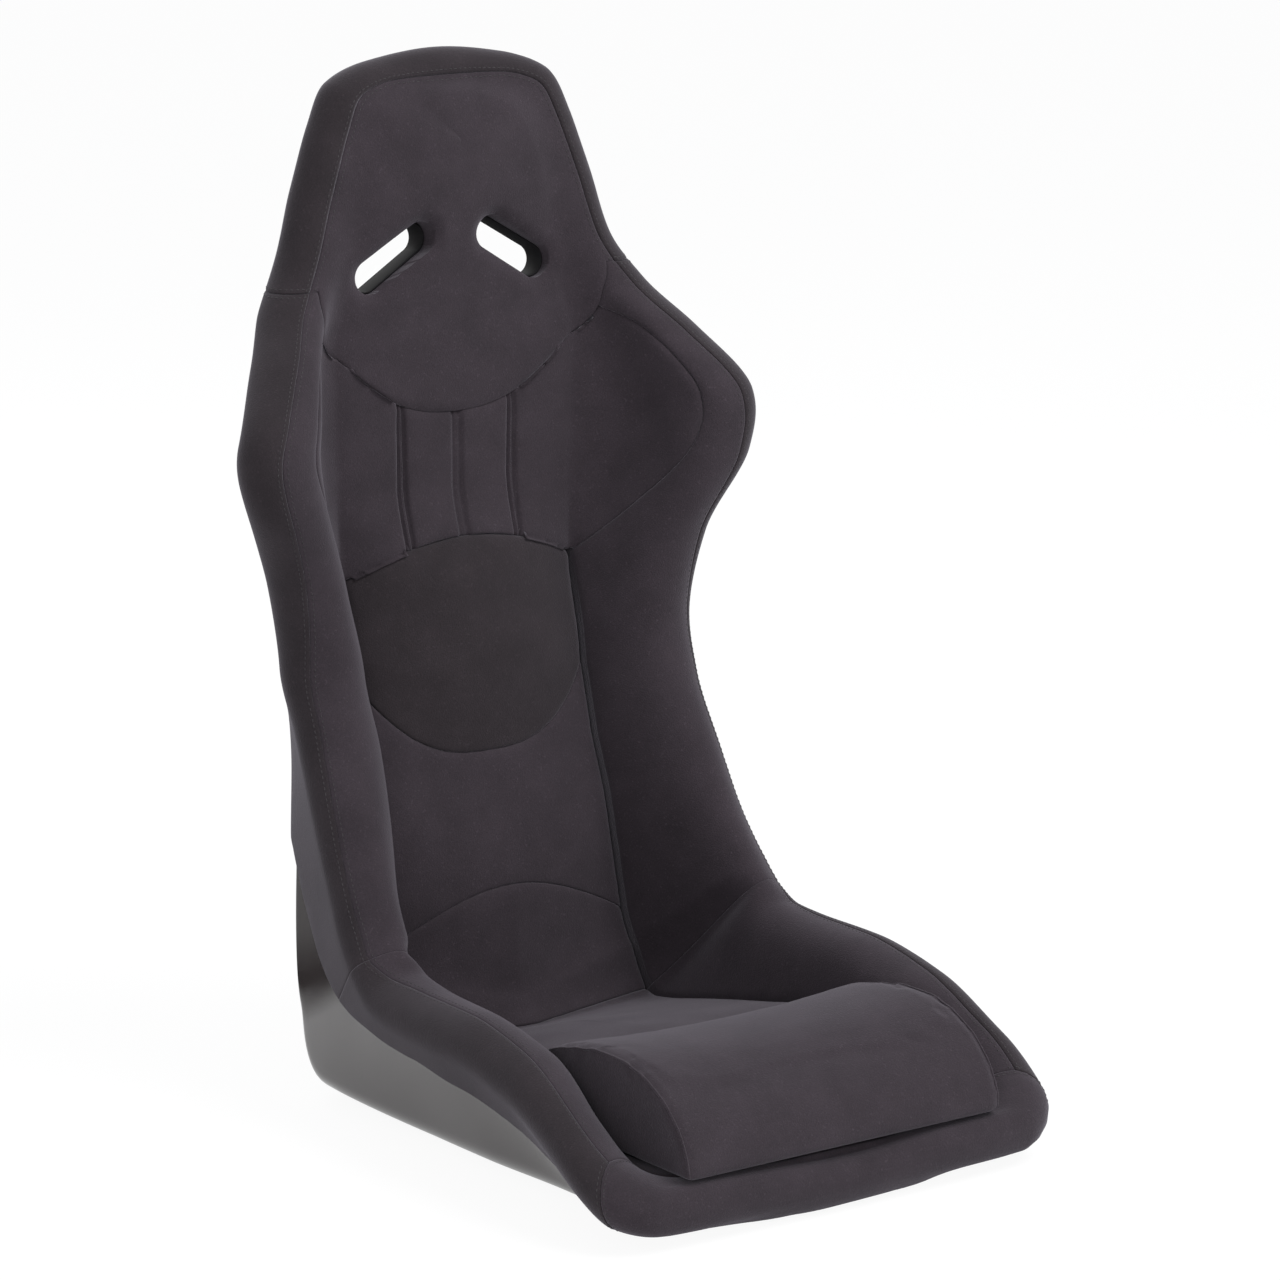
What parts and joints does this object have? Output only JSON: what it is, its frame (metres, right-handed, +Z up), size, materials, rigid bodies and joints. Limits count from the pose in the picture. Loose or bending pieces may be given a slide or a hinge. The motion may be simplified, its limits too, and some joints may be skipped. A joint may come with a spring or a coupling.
{
  "type": "racing bucket seat",
  "caption": "Fixed-back racing bucket seat: moulded shell, padded fabric panels, shoulder wings, belt slots and a lift-off thigh cushion.",
  "frame": {"origin": "centre of the four base inserts, on the mounting face under the shell", "axes": "+Z up, the seat faces -Y, +X to the right seen from the front"},
  "size_m": [0.5574, 0.6567, 0.9437],
  "materials": {
    "gelcoat": "gloss black gelcoat on glass fibre",
    "fabric": "charcoal velour",
    "fabric_dark": "darker charcoal velour",
    "foam": "cream polyurethane foam",
    "steel": "zinc plated steel",
    "plastic": "black moulded plastic"
  },
  "bodies": {
    "seat": {"shell": "gelcoat", "front_backing_plate": "steel", "rear_backing_plate": "steel", "threaded_inserts": "steel", "head_pad": "fabric", "channel_pad": "fabric", "shoulder_wing_left": "fabric", "shoulder_wing_right": "fabric", "lumbar_pad": "fabric_dark", "lower_back_pad": "fabric", "tail_pad": "fabric", "squab_pad": "fabric", "front_base_pad": "fabric", "torso_bolster_left": "fabric", "torso_bolster_right": "fabric", "thigh_bolster_left": "fabric", "thigh_bolster_right": "fabric", "lip_pad": "fabric", "torso_wrap_left": "fabric_dark", "torso_wrap_right": "fabric_dark", "thigh_wrap_left": "fabric_dark", "thigh_wrap_right": "fabric_dark", "head_wrap": "fabric_dark", "slot_liner_left": "plastic", "slot_liner_right": "plastic", "hook_strips": "plastic"},
    "thigh_cushion": {"cushion_cover": "fabric", "cushion_foam": "foam", "cushion_zip": "plastic", "cushion_zip_pull": "steel", "loop_strips": "plastic"}
  },
  "joints": [
    {"name": "thigh_cushion_lift", "type": "slide", "parent": "seat", "child": "thigh_cushion", "axis": [0, 0, 1], "range_m": [0, 0.15]}
  ]
}
